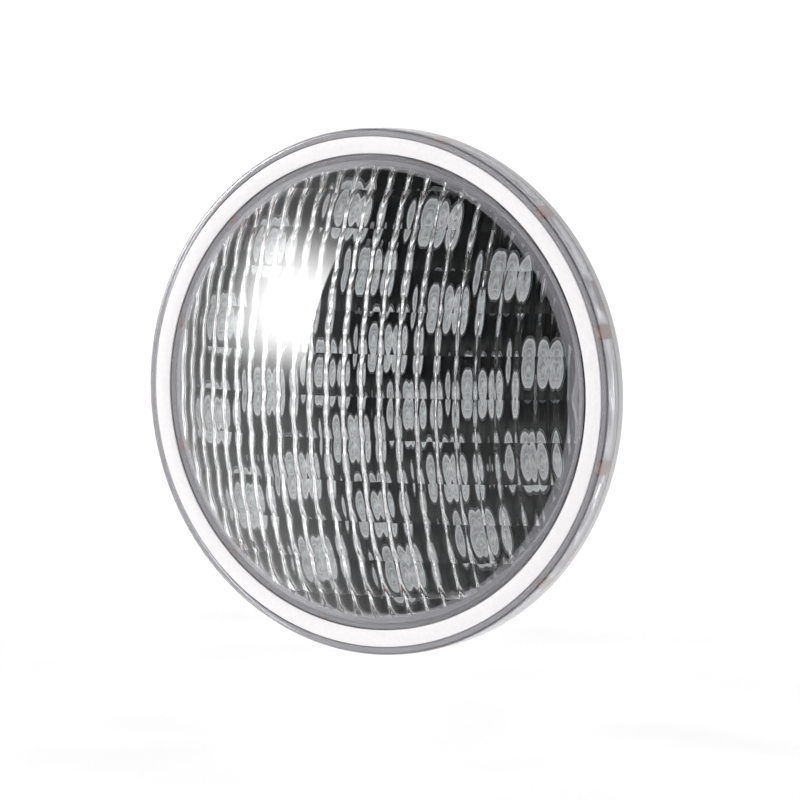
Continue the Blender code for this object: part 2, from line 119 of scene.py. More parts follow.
# terminals
TERMINAL_X = 15.0 * MM
POST_R = 3.0 * MM
POST_FLANGE_R = 6.5 * MM
THREAD_R = 1.9 * MM
WASHER_R = 4.8 * MM
TERMINAL_HEAD_R = 4.0 * MM
TERMINAL_PITCH = 0.7 * MM
POST_FLANGE = 1.7 * MM
SLOT_WIDTH = 1.0 * MM
SLOT_DEPTH = 1.2 * MM
THREAD_DEPTH = 0.35 * MM

# optics
OPTICS = 24
OPTIC_FOOT_R = 5.2 * MM
CUP_IN_R = 3.7 * MM               # the ring round the cup in each optic's face, painted near white as a highlight
CUP_OUT_R = 4.3 * MM

# studio: each edge or wall is (start, end, brightness at start, brightness at end)
SOFTBOX_WAY = (-0.711, -0.646, 0.281)
SOFTBOX_GLOW = 22.0
SOFTBOX_THROUGH = 3.5             # as seen through the cover, where its ridges mirror it
SOFTBOX_SIDES = ((-0.62, 0.02, 0, 1), (0.122, 0.134, 1, 0))
SOFTBOX_ENDS = ((-0.34, -0.05, 0, 1), (0.0, 0.38, 1, 0))
SOFTBOX_SPREAD = (0.7, 0.92)      # cosines between which its light on matt surfaces rises
SOFTBOX_LIT = 2.4                 # its share in that light
EVEN_LIT = 0.55
LEFT_WALL = (-0.75, -0.36, 1.05, 0)
BACK_WALL = (0.0, 0.35, 0, 0.8)
PALE_GROUND = (-0.5, 0.12, 0.45, 0)
ROOM_DARK = 0.03
BACKDROP = 1.1
FLOOR_Z = -0.9
FLOOR_SIZE = 6.0
FLOOR_GLOW = 0.25

# camera, round the middle of the rim's front
CAMERA_AZIMUTH = 29.6             # degrees to the right
CAMERA_ELEVATION = 3.96
CAMERA_DISTANCE = 1.5
CAMERA_LENS = 200.6
CAMERA_SHIFT = (0.0348, -0.0094)


def link(obj):
    bpy.context.scene.collection.objects.link(obj)
    return obj


def turn_and_shade(mesh, sharp):
    """Turn a mesh from the lamp's frame into the row frame and shade it smooth."""
    mesh.transform(TO_ROW)
    mesh.shade_smooth()
    mesh.set_sharp_from_angle(angle=math.radians(sharp))


def finish_mesh(name, mesh, sharp=35.0):
    turn_and_shade(mesh, sharp)
    return link(bpy.data.objects.new(name, mesh))


def lathe_mesh(name, profile, steps=192):
    """A solid of revolution from (r, z) points that run down its outer side."""
    rings = []
    vertices = []
    for r, z in profile:
        if r < 1e-7:
            rings.append([len(vertices)] * steps)
            vertices.append((0.0, 0.0, z))
            continue
        rings.append(list(range(len(vertices), len(vertices) + steps)))
        for i in range(steps):
            a = 2 * math.pi * i / steps
            vertices.append((r * math.cos(a), r * math.sin(a), z))
    pairs = list(zip(rings, rings[1:]))
    if profile[0][0] > 1e-7:
        pairs.append((rings[-1], rings[0]))
    faces = []
    for upper, lower in pairs:
        for i in range(steps):
            j = (i + 1) % steps
            corners = (upper[i], lower[i], lower[j], upper[j])
            face = tuple(dict.fromkeys(corners))
            if len(face) > 2:
                faces.append(face)
    mesh = bpy.data.meshes.new(name)
    mesh.from_pydata(vertices, [], faces)
    return mesh


def lathe(name, profile, steps=192, sharp=35.0):
    return finish_mesh(name, lathe_mesh(name, profile, steps), sharp)


def arc(centre, radius, start, end, count):
    """(r, z) points of an arc, angles in degrees from +r towards +z."""
    points = []
    for i in range(count + 1):
        a = math.radians(start + (end - start) * i / count)
        points.append((centre[0] + radius * math.cos(a), centre[1] + radius * math.sin(a)))
    return points


def dome(sphere_r, centre_z, foot_r, count):
    """(r, z) points of a spherical cap, from its top on the axis to radius foot_r."""
    end = math.asin(foot_r / sphere_r)
    angles = [end * i / count for i in range(count + 1)]
    return [(sphere_r * math.sin(a), centre_z + sphere_r * math.cos(a)) for a in angles]


# materials -------------------------------------------------------------------

def material(name):
    """A new node material: (material, nodes, links, principled)."""
    mat = bpy.data.materials.new(name)
    mat.use_nodes = True
    tree = mat.node_tree
    return mat, tree.nodes, tree.links, tree.nodes["Principled BSDF"]


class Nodes:
    """Short names for building a node tree."""

    def __init__(self, tree):
        self.tree = tree

    def put(self, value, socket):
        if isinstance(value, (int, float)):
            socket.default_value = value
        else:
            self.tree.links.new(value, socket)

    def math(self, operation, a, b=0.0):
        node = self.tree.nodes.new("ShaderNodeMath")
        node.operation = operation
        self.put(a, node.inputs[0])
        self.put(b, node.inputs[1])
        return node.outputs[0]

    def product(self, first, *others):
        for other in others:
            first = self.math("MULTIPLY", first, other)
        return first

    def total(self, first, *others):
        for other in others:
            first = self.math("ADD", first, other)
        return first

    def choose(self, test, no, yes):
        node = self.tree.nodes.new("ShaderNodeMix")
        self.put(test, node.inputs["Factor"])
        self.put(no, node.inputs["A"])
        self.put(yes, node.inputs["B"])
        return node.outputs["Result"]

    def ramp(self, value, start, end, first, last):
        """A smooth step of the value from first to last."""
        node = self.tree.nodes.new("ShaderNodeMapRange")
        node.interpolation_type = "SMOOTHSTEP"
        self.put(value, node.inputs["Value"])
        low, high, a, b = (start, end, first, last) if start < end else (end, start, last, first)
        for name, number in (("From Min", low), ("From Max", high), ("To Min", a), ("To Max", b)):
            node.inputs[name].default_value = number
        return node.outputs["Result"]

    def dot(self, vector, direction):
        node = self.tree.nodes.new("ShaderNodeVectorMath")
        node.operation = "DOT_PRODUCT"
        self.tree.links.new(vector, node.inputs[0])
        node.inputs[1].default_value = direction
        return node.outputs["Value"]


def clear_plastic(name, tint, roughness, ior, haze=()):
    """Clear plastic that bends what is seen through it and lets lamps' light through.

    haze lists (inner radius, outer radius, share) bands round the axis, where the moulding
    is slightly milky.
    """
    mat, nodes, links, shader = material(name)
    tree = Nodes(mat.node_tree)
    shader.inputs["Base Color"].default_value = (*tint, 1)
    shader.inputs["Roughness"].default_value = roughness
    shader.inputs["IOR"].default_value = ior
    shader.inputs["Transmission Weight"].default_value = 1.0
    body = shader.outputs[0]
    if haze:
        place = nodes.new("ShaderNodeTexCoord").outputs["Object"]
        milky = nodes.new("ShaderNodeBsdfPrincipled")
        milky.inputs["Base Color"].default_value = (0.82, 0.81, 0.87, 1)
        milky.inputs["Roughness"].default_value = 0.3
        across = tree.dot(place, (1, 0, 0))
        up = tree.dot(place, (0, 0, 1))
        r = tree.math("SQRT", tree.total(tree.product(across, across), tree.product(up, up)))
        fade = 0.4 * MM
        amount = tree.total(*(tree.product(tree.ramp(r, start, start + fade, 0, 1),
                                           tree.ramp(r, end, end + fade, 1, 0), share)
                              for start, end, share in haze))
        mix = nodes.new("ShaderNodeMixShader")
        tree.put(amount, mix.inputs["Fac"])
        links.new(body, mix.inputs[1])
        links.new(milky.outputs[0], mix.inputs[2])
        body = mix.outputs[0]
    path = nodes.new("ShaderNodeLightPath")
    through = nodes.new("ShaderNodeBsdfTransparent")
    through.inputs["Color"].default_value = (*tint, 1)
    mix = nodes.new("ShaderNodeMixShader")
    output = nodes["Material Output"]
    links.new(path.outputs["Is Shadow Ray"], mix.inputs["Fac"])
    links.new(body, mix.inputs[1])
    links.new(through.outputs[0], mix.inputs[2])
    links.new(mix.outputs[0], output.inputs["Surface"])
    return mat


def plain(name, colour, roughness, metallic=0.0, bump=0.0, scale=800.0, specular=0.5,
          vary=0.055):
    """A moulded or machined surface with fine variation in tone, gloss and relief."""
    mat, nodes, links, shader = material(name)
    shader.inputs["Metallic"].default_value = metallic
    shader.inputs["Specular IOR Level"].default_value = specular
    place = nodes.new("ShaderNodeTexCoord")
    noise = nodes.new("ShaderNodeTexNoise")
    noise.inputs["Scale"].default_value = scale
    noise.inputs["Detail"].default_value = 4
    links.new(place.outputs["Object"], noise.inputs["Vector"])
    spread = nodes.new("ShaderNodeMapRange")
    spread.inputs["From Min"].default_value = 0.35
    spread.inputs["From Max"].default_value = 0.65
    links.new(noise.outputs["Fac"], spread.inputs["Value"])
    tone = nodes.new("ShaderNodeMix")
    tone.data_type = "RGBA"
    links.new(spread.outputs["Result"], tone.inputs["Factor"])
    tone.inputs["A"].default_value = (*[c * (1 - vary) for c in colour], 1)
    tone.inputs["B"].default_value = (*[min(1, c * (1 + vary)) for c in colour], 1)
    links.new(tone.outputs["Result"], shader.inputs["Base Color"])
    gloss = nodes.new("ShaderNodeMapRange")
    links.new(noise.outputs["Fac"], gloss.inputs["Value"])
    gloss.inputs["To Min"].default_value = roughness * 0.85
    gloss.inputs["To Max"].default_value = roughness * 1.15
    links.new(gloss.outputs["Result"], shader.inputs["Roughness"])
    if bump:
        relief = nodes.new("ShaderNodeBump")
        relief.inputs["Strength"].default_value = bump
        relief.inputs["Distance"].default_value = 0.05 * MM
        links.new(noise.outputs["Fac"], relief.inputs["Height"])
        links.new(relief.outputs[0], shader.inputs["Normal"])
    return mat


CLEAR = clear_plastic("clear_polycarbonate", (0.97, 0.98, 0.985), 0.0, 1.57,
                      haze=((75.0 * MM, 79.6 * MM, 0.18), (85.8 * MM, 87.9 * MM, 0.24),
                            (88.3 * MM, 95.0 * MM, 0.35)))
WHITE = plain("white_moulding", (0.80, 0.78, 0.79), 0.4, specular=0.25, vary=0.02)
# grey for the trim ring's side faces: painted shade along the ring's edges and its seam with the
# rim
TRIM_EDGE_SHADE = plain("trim_edge_painted_shade", (0.32, 0.32, 0.34), 0.5)
BLACK_BOARD = plain("black_solder_mask", (0.010, 0.010, 0.011), 0.5, specular=0.15)
HOUSING = plain("housing_moulding", (0.64, 0.63, 0.635), 0.42, bump=0.25, scale=600.0,
                vary=0.02)
ALUMINIUM = plain("aluminium", (0.70, 0.71, 0.73), 0.38, 1.0, bump=0.2)
GREEN_BOARD = plain("green_board", (0.03, 0.16, 0.07), 0.35, scale=300.0)
PAD = plain("thermal_pad", (0.40, 0.46, 0.52), 0.8, scale=500.0)
NYLON = plain("nylon", (0.78, 0.77, 0.71), 0.5)
LEAD_RED = plain("lead_red", (0.50, 0.03, 0.03), 0.5)
LEAD_BLACK = plain("lead_black", (0.025, 0.025, 0.025), 0.5)
RUBBER = plain("seal_rubber", (0.012, 0.012, 0.012), 0.6, specular=0.2)
BRASS = plain("brass", (0.88, 0.42, 0.24), 0.35, 0.25, bump=0.4, scale=1500.0)
STEEL = plain("steel", (0.62, 0.62, 0.64), 0.26, 1.0)
FROST = plain("optic_frost", (0.72, 0.74, 0.76), 0.2, bump=0.8, scale=260.0, vary=0.35)
OPTIC_CUP = plain("optic_cup", (0.86, 0.87, 0.88), 0.25)
# near white on the optics' ridges: a painted highlight
OPTIC_HIGHLIGHT = plain("optic_painted_highlight", (0.97, 0.98, 0.99), 0.3)
OPTIC_SKIRT = plain("optic_skirt", (0.15, 0.155, 0.16), 0.25)


# pieces ----------------------------------------------------------------------

def groove(offset, pitch, radius, crest):
    """Depth of a round groove; it meets its neighbours in a rounded crest, where it is zero."""
    edge = pitch / 2 - crest
    hollow = (edge * (edge + crest) - offset ** 2) / (2 * radius)
    shoulder = (pitch / 2 - abs(offset)) ** 2 * edge / (2 * radius * crest)
    return np.where(abs(offset) < edge, hollow, shoulder)


def fluted_void():
    """The solid below the fluted inner face, which is cut out of the cover."""
    centre_z = DOME_TOP - DOME_SPHERE_R
    ridge_r = DOME_SPHERE_R - COVER_WALL - RIDGE_DROP
    steps_u = np.linspace(-0.5, 0.5, FLUTE_CUTS + 1)[:-1]
    steps_v = np.linspace(-0.5, 0.5, ROW_CUTS + 1)[:-1]
    u = np.concatenate([(k + 0.5 + steps_u) * FLUTE_PITCH
                        for k in range(-FLUTE_CELLS, FLUTE_CELLS)] + [[FLUTE_CELLS * FLUTE_PITCH]])
    v = np.concatenate([(k + 0.5 + steps_v) * ROW_PITCH
                        for k in range(-ROW_CELLS, ROW_CELLS)] + [[ROW_CELLS * ROW_PITCH]])
    off_u = u - (np.floor(u / FLUTE_PITCH + 1e-6) + 0.5) * FLUTE_PITCH
    off_v = v - (np.floor(v / ROW_PITCH + 1e-6) + 0.5) * ROW_PITCH
    depth = (groove(off_u, FLUTE_PITCH, FLUTE_GROOVE_R, FLUTE_CREST)[:, None]
             + groove(off_v, ROW_PITCH, ROW_GROOVE_R, ROW_CREST)[None, :])
    base = DOME_SPHERE_R - COVER_WALL
    nx = np.sin(u / base)[:, None] + 0 * depth
    ny = np.sin(v / base)[None, :] + 0 * depth
    nz = np.sqrt(np.maximum(1 - nx ** 2 - ny ** 2, 0.05))
    rho = ridge_r + depth
    top = np.stack([rho * nx, rho * ny, centre_z + rho * nz], axis=-1)
    count_u, count_v = len(u), len(v)
    floor = top.copy()
    floor[..., 2] = -5 * MM
    vertices = np.concatenate([top.reshape(-1, 3), floor.reshape(-1, 3)])
    shift = count_u * count_v

    def at(i, j):
        return i * count_v + j
    faces = []
    for i in range(count_u - 1):
        for j in range(count_v - 1):
            faces.append((at(i, j), at(i + 1, j), at(i + 1, j + 1), at(i, j + 1)))
    rim = ([at(i, 0) for i in range(count_u)] + [at(count_u - 1, j) for j in range(1, count_v)]
           + [at(i, count_v - 1) for i in range(count_u - 2, -1, -1)]
           + [at(0, j) for j in range(count_v - 2, 0, -1)])
    for a, b in zip(rim, rim[1:] + rim[:1]):
        faces.append((b, a, a + shift, b + shift))
    faces.append(tuple(i + shift for i in reversed(rim)))
    mesh = bpy.data.meshes.new("fluted_void")
    used = sorted({i for face in faces for i in face})
    index = {old: new for new, old in enumerate(used)}
    mesh.from_pydata([tuple(vertices[i]) for i in used], [],
                     [tuple(index[i] for i in face) for face in faces])
    return mesh


def boolean(target, tool, operation):
    """The target's mesh after an exact Boolean with the tool's mesh."""
    a = link(bpy.data.objects.new("target", target))
    b = link(bpy.data.objects.new("tool", tool))
    modifier = a.modifiers.new("cut", "BOOLEAN")
    modifier.operation = operation
    modifier.object = b
    bpy.context.view_layer.update()
    graph = bpy.context.evaluated_depsgraph_get()
    result = bpy.data.meshes.new_from_object(a.evaluated_get(graph))
    bpy.data.objects.remove(a)
    bpy.data.objects.remove(b)
    return result


def mended(mesh):
    """Weld the near-double points that Booleans leave and fill the slivers between them."""
    work = bmesh.new()
    work.from_mesh(mesh)
    bmesh.ops.remove_doubles(work, verts=work.verts[:], dist=0.001 * MM)
    gaps = [edge for edge in work.edges if edge.is_boundary]
    bmesh.ops.holes_fill(work, edges=gaps, sides=4)
    work.to_mesh(mesh)
    work.free()
    return mesh


def front_cover():
    """The clear dome and rim, with the fluted inner face and the trim ring's recess."""
    centre = DOME_TOP - DOME_SPHERE_R
    foot = math.sqrt(DOME_SPHERE_R ** 2 - (RIM_FRONT - centre) ** 2)
    recess = RIM_FRONT - TRIM_THICK - 0.05 * MM
    profile = dome(DOME_SPHERE_R, centre, foot, 48)
    profile += [(TRIM_IN_R, RIM_FRONT), (TRIM_IN_R, recess), (TRIM_OUT_R, recess),
                (TRIM_OUT_R, RIM_FRONT)]
    profile += arc((RIM_R - COVER_EDGE, RIM_FRONT - COVER_EDGE), COVER_EDGE, 90, 0, 5)
    profile += [(RIM_R, RIM_REAR), (0, RIM_REAR)]
    outside = lathe_mesh("front_cover", profile)
    above = 40 * MM
    bore = lathe_mesh("bore", [(0, above), (COVER_BORE_R, above), (COVER_BORE_R, 0), (0, 0)])
    void = boolean(fluted_void(), bore, "INTERSECT")
    mesh = boolean(outside, void, "DIFFERENCE")
    mesh.name = "cover_lens"
    cover = finish_mesh("cover_lens", mesh, 22.0)
    cover.data.materials.clear()
    cover.data.materials.append(CLEAR)
    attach(cover, BODY)
    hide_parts("front_cover")


def trim_ring():
    """The white ring with softened corners; its side faces are painted grey as shade along its
    edges.
    """
    outer, inner = RING_HIGH.x, TRIM_IN_R + GAP
    front, back = -RING_LOW.y, -RING_HIGH.y
    soft = 0.4 * MM
    profile = ([(inner, back)] + arc((inner + soft, front - soft), soft, 180, 90, 4)
               + arc((outer - soft, front - soft), soft, 90, 0, 4) + [(outer, back)])
    ring = lathe("ring", profile, 256)
    ring.data.materials.append(WHITE)
    ring.data.materials.append(TRIM_EDGE_SHADE)
    # side faces take the grey of painted shade
    for face in ring.data.polygons:
        if abs(face.normal.y) < 0.55:
            face.material_index = 1
    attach(ring, BODY)
    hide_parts("trim_ring")


def bowl(inset, count):
    """The bowl's outline from the drum to the boss, moved in by inset along its normal."""
    depth = BOWL_DEPTH - DRUM_DEPTH
    fall = DRUM_END_R - BOSS_R
    points = []
    for i in range(count + 1):
        share = i / count
        slope = fall * BOWL_POWER * share ** (BOWL_POWER - 1) / depth
        length = math.hypot(1.0, slope)
        radius = DRUM_END_R - fall * share ** BOWL_POWER - inset / length
        points.append((radius, -DRUM_DEPTH - depth * share + inset * slope / length))
    return points


def rods(radius, low, high, places, top_radius=None, steps=48):
    """One mesh of upright rods, or cones, at the given (x, y) places."""
    top_radius = radius if top_radius is None else top_radius
    rod = lathe_mesh("rod", [(0, high), (top_radius, high), (radius, low), (0, low)], steps)
    work = bmesh.new()
    for x, y in places:
        copy = rod.copy()
        copy.transform(Matrix.Translation((x, y, 0)))
        work.from_mesh(copy)
        bpy.data.meshes.remove(copy)
    mesh = bpy.data.meshes.new("rods")
    work.to_mesh(mesh)
    work.free()
    return mesh


def soft_box(size, centre, radius):
    """A box with rounded edges."""
    work = bmesh.new()
    place = Matrix.Translation(centre) @ Matrix.Diagonal((*size, 1))
    bmesh.ops.create_cube(work, size=1.0, matrix=place)
    bmesh.ops.bevel(work, geom=work.edges[:], offset=radius, segments=3, profile=0.5,
                    affect="EDGES")
    mesh = bpy.data.meshes.new("soft_box")
    work.to_mesh(mesh)
    work.free()
    return mesh


def ring_points(count, radius, start):
    """Evenly spaced (x, y) points on a circle, the first at the start angle."""
    angles = [math.radians(start + 360.0 * i / count) for i in range(count)]
    return [(radius * math.cos(a), radius * math.sin(a)) for a in angles]


def pillars():
    """The hollow pillars for the sink screws, which end half-way into the bowl's wall."""
    places = []
    for i in (1, 2, 3):
        low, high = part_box(f"sink_screw_{i}")
        places.append(((low.x + high.x) / 2, (low.z + high.z) / 2))
    screw_end = -high.y
    inside = bowl(HOUSING_WALL / 2, 40)
    room = lathe_mesh("room", [(0, 0), (MOUTH_R, 0), *inside, (0, inside[-1][1])], 240)
    solid = boolean(rods(PILLAR_R, -BOWL_DEPTH, PILLAR_TOP, places), room, "INTERSECT")
    bores = rods(PILLAR_BORE_R, screw_end - OVER, PILLAR_TOP + OVER, places)
    return boolean(solid, bores, "DIFFERENCE")


def rear_housing():
    """The moulded bowl with its flange, gasket groove, screw seats, boss, barrier and pillars."""
    groove_in, groove_out = GROOVE_R - GROOVE_WIDTH / 2, GROOVE_R + GROOVE_WIDTH / 2
    groove_floor = FLANGE_FRONT - GROOVE_DEPTH
    floor_z = BOSS_FLOOR - BOSS_DEPTH
    inside = [p for p in bowl(HOUSING_WALL, 40) if p[0] > BOSS_BORE_R]
    inner = [(0, floor_z), (BOSS_BORE_R, floor_z), (BOSS_BORE_R, inside[-1][1]),
             *reversed(inside), (MOUTH_R, 0), (MOUTH_R, FLANGE_FRONT)]
    flange = [(groove_in, FLANGE_FRONT), (groove_in, groove_floor), (groove_out, groove_floor),
              (groove_out, FLANGE_FRONT)]
    front_r, back_r = 0.3 * MM, 0.6 * MM
    flange += arc((RIM_R - front_r, FLANGE_FRONT - front_r), front_r, 90, 0, 3)
    flange += arc((RIM_R - back_r, back_r), back_r, 0, -90, 5)
    root = 2.0 * MM
    neck = [(DRUM_TOP_R + root - root * math.sin(math.radians(a)),
             -root + root * math.cos(math.radians(a))) for a in (0, 20, 40, 60, 80)]
    outer = bowl(0, 48)
    foot = 1.6 * MM
    join = [(BOSS_R + foot * (1 - math.sin(math.radians(a))),
             outer[-1][1] - foot * (1 - math.cos(math.radians(a)))) for a in (30, 60, 90)]
    edge = 1.0 * MM
    boss = arc((BOSS_R - edge, edge - BOSS_DEPTH), edge, 0, -90, 6) + [(0, -BOSS_DEPTH)]
    outer = [p for p in outer if p[0] > BOSS_R + foot]
    shell = lathe_mesh("housing", inner + flange + neck + outer + join + boss, 240)

    screws = ring_points(RIM_SCREWS, RIM_SCREW_CIRCLE_R, RIM_SCREW_START)
    clear_r = RIM_SCREW_R + GAP
    shell = boolean(shell, rods(clear_r, -OVER, FLANGE_FRONT + OVER, screws), "DIFFERENCE")
    deep = RIM_HEAD_DEPTH + GAP
    shell = boolean(shell, rods(clear_r + deep + OVER, -OVER, deep, screws, clear_r),
                    "DIFFERENCE")
    posts = [(TERMINAL_X, 0), (-TERMINAL_X, 0)]
    shell = boolean(shell, rods(POST_R + GAP, -BOSS_DEPTH - OVER, floor_z + OVER, posts),
                    "DIFFERENCE")
    tall = BARRIER_SIZE.z + OVER
    barrier = soft_box((BARRIER_SIZE.x, BARRIER_SIZE.y, tall),
                       (0, 0, -BOSS_DEPTH - BARRIER_SIZE.z + tall / 2), 0.5 * MM)
    shell = boolean(shell, barrier, "UNION")
    shell = boolean(shell, pillars(), "UNION")
    housing = finish_mesh("housing", mended(shell), 30.0)
    housing.data.materials.clear()
    housing.data.materials.append(HOUSING)
    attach(housing, BODY)
    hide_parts("rear_housing")


def threaded(name, profile, shank_r, low, high, pitch, steps=32):
    """A lathed solid whose shank, from low to high, carries a helical thread."""
    count = int(round((high - low) / pitch * 6))
    turns = [(shank_r, high - (high - low) * i / count) for i in range(count + 1)]
    before = [p for p in profile if p[1] > high]
    after = [p for p in profile if p[1] < low]
    mesh = lathe_mesh(name, before + turns + after, steps)
    for vertex in mesh.vertices:
        x, y, z = vertex.co
        if low - 1e-6 <= z <= high + 1e-6 and math.hypot(x, y) > shank_r * 0.9:
            turn = (z / pitch - math.atan2(y, x) / (2 * math.pi)) % 1.0
            ends = min(1.0, (high - z) / (pitch * 0.8), (z - low) / (pitch * 0.8))
            cut = THREAD_DEPTH * (1 - abs(2 * turn - 1)) * max(0.0, ends)
            vertex.co.xy *= (shank_r - cut) / shank_r
    return mesh


def rim_screws():
    """Countersunk brass screws with cross recesses and threaded shanks."""
    back = RIM_HEAD_BACK
    neck = back + RIM_HEAD_DEPTH
    tip = -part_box("rim_screw_01")[0].y
    profile = [(0, tip), (RIM_SCREW_R - 0.6 * MM, tip), (RIM_SCREW_R, tip - 0.5 * MM),
               (RIM_SCREW_R, neck), (RIM_HEAD_R - 0.1 * MM, back + 0.15 * MM),
               (RIM_HEAD_R - 0.15 * MM, back), (0, back)]
    pitch = 0.8 * MM
    mesh = threaded("rim_screw", profile, RIM_SCREW_R, neck + 0.2 * MM, tip - 0.6 * MM, pitch)
    span = 2 * RECESS_ARM
    for size in ((span, RECESS_WIDTH, RECESS_ARM), (RECESS_WIDTH, span, RECESS_ARM)):
        mesh = boolean(mesh, soft_box(size, (0, 0, back), 0.12 * MM), "DIFFERENCE")
    mesh.materials.clear()
    mesh.materials.append(BRASS)
    turn_and_shade(mesh, 40.0)
    places = ring_points(RIM_SCREWS, RIM_SCREW_CIRCLE_R, RIM_SCREW_START)
    for i, (x, z) in enumerate(places, 1):
        screw = link(bpy.data.objects.new(f"brass_screw_{i:02d}", mesh))
        screw.location = (x, 0, z)
        screw.rotation_euler.y = math.radians(RECESS_TURN * i)
        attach(screw, BODY)
        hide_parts(f"rim_screw_{i:02d}")


def terminal(letter, side):
    """A brass post, a steel washer and a slotted clamping screw."""
    x = side * TERMINAL_X
    land = -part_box(f"terminal_post_{letter}")[1].y
    inner = -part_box(f"terminal_post_{letter}")[0].y
    shoulder = land + POST_FLANGE
    bore = THREAD_R + GAP
    soft = 0.35 * MM
    post = ([(0, inner), (POST_R - soft, inner), (POST_R, inner - soft), (POST_R, shoulder)]
            + arc((POST_FLANGE_R - soft, shoulder - soft), soft, 90, 0, 3)
            + arc((POST_FLANGE_R - soft, land + soft), soft, 0, -90, 3)
            + [(bore + 0.3 * MM, land), (bore, land + 0.3 * MM), (bore, inner - 2.5 * MM),
               (0, inner - 2.0 * MM)])
    place_terminal(f"post_{letter}", lathe_mesh("post", post, 64), x, BODY,
                   f"terminal_post_{letter}", BRASS)

    low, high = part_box(f"terminal_washer_{letter}")
    top, back = -low.y, -high.y
    washer = ([(bore, top - 0.15 * MM), (bore + 0.15 * MM, top)]
              + arc((WASHER_R - soft, top - soft), soft, 90, 0, 3)
              + arc((WASHER_R - soft, back + soft), soft, 0, -90, 3)
              + [(bore + 0.15 * MM, back), (bore, back + 0.15 * MM)])
    place_terminal(f"washer_{letter}", lathe_mesh("washer", washer, 64), x,
                   f"terminal_{letter}_washer", f"terminal_washer_{letter}", STEEL)

    low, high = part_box(f"terminal_screw_{letter}")
    tip, end = -low.y, -high.y
    seat = back - GAP
    crown = 0.8 * MM
    screw = ([(0, tip), (THREAD_R - 0.4 * MM, tip), (THREAD_R, tip - 0.4 * MM), (THREAD_R, seat)]
             + arc((TERMINAL_HEAD_R - 0.2 * MM, seat - 0.2 * MM), 0.2 * MM, 90, 0, 2)
             + arc((TERMINAL_HEAD_R - crown, end + crown), crown, 0, -90, 6) + [(0, end)])
    mesh = threaded("clamp_screw", screw, THREAD_R, seat + 0.3 * MM, tip - 0.5 * MM,
                    TERMINAL_PITCH)
    slot = soft_box((TERMINAL_HEAD_R * 3, SLOT_WIDTH, 2 * SLOT_DEPTH), (0, 0, end), 0.1 * MM)
    mesh = mended(boolean(mesh, slot, "DIFFERENCE"))
    place_terminal(f"clamp_screw_{letter}", mesh, x, f"terminal_{letter}_screw",
                   f"terminal_screw_{letter}", STEEL)


def place_terminal(name, mesh, x, body, node, look):
    """Move a terminal's mesh to its side of the barrier and make it a piece."""
    mesh.transform(Matrix.Translation((x, 0, 0)))
    piece = finish_mesh(name, mesh, 40.0)
    piece.data.materials.clear()
    piece.data.materials.append(look)
    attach(piece, body)
    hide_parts(node)


def led_optics():
    """Cones with a frosted, dished face: a cup in the middle and a line near the rim; the cup's
    ring and that line are painted near white as highlights.
    """
    low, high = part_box("led_optic_01")
    outer = (high.x - low.x) / 2
    top, foot = -low.y, -high.y
    line_r = outer - 1.5 * MM
    profile = [(0, top - 1.1 * MM), (1.5 * MM, top - 1.25 * MM), (2.9 * MM, top - 1.8 * MM),
               (3.3 * MM, top - 2.2 * MM), (CUP_IN_R, top - 2.2 * MM), (3.9 * MM, top - 0.8 * MM),
               (CUP_OUT_R, top - 0.7 * MM), (5.9 * MM, top - 0.8 * MM),
               (line_r - 0.9 * MM, top - 0.6 * MM), (line_r - 0.6 * MM, top - 0.1 * MM),
               (line_r + 0.1 * MM, top), (line_r + 0.3 * MM, top - 0.4 * MM),
               (outer - 0.3 * MM, top - 0.65 * MM), (outer, top - 0.9 * MM),
               (outer, top - 1.8 * MM), (OPTIC_FOOT_R, foot), (0, foot)]
    mesh = lathe_mesh("optic", profile, 48)
    turn_and_shade(mesh, 32.0)
    for look in (OPTIC_CUP, FROST, OPTIC_HIGHLIGHT, OPTIC_SKIRT):
        mesh.materials.append(look)
    for face in mesh.polygons:
        centre = face.center
        r = math.hypot(centre.x, centre.z)
        front = -centre.y > top - 2.3 * MM and face.normal.y < 0.5
        if not front:
            continue
        # the cup's ring and the line near the rim get a painted highlight
        bright = CUP_IN_R < r < CUP_OUT_R or abs(r - line_r + 0.3 * MM) < 0.5 * MM
        if bright:
            face.material_index = 2
        elif r < line_r:
            face.material_index = 1
        elif r < outer - 0.05 * MM:
            face.material_index = 3
    for i in range(1, OPTICS + 1):
        node = f"led_optic_{i:02d}"
        low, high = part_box(node)
        piece = link(bpy.data.objects.new(f"optic_{i:02d}", mesh))
        piece.location = ((low.x + high.x) / 2, 0, (low.z + high.z) / 2)
        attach(piece, BODY)
        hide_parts(node)


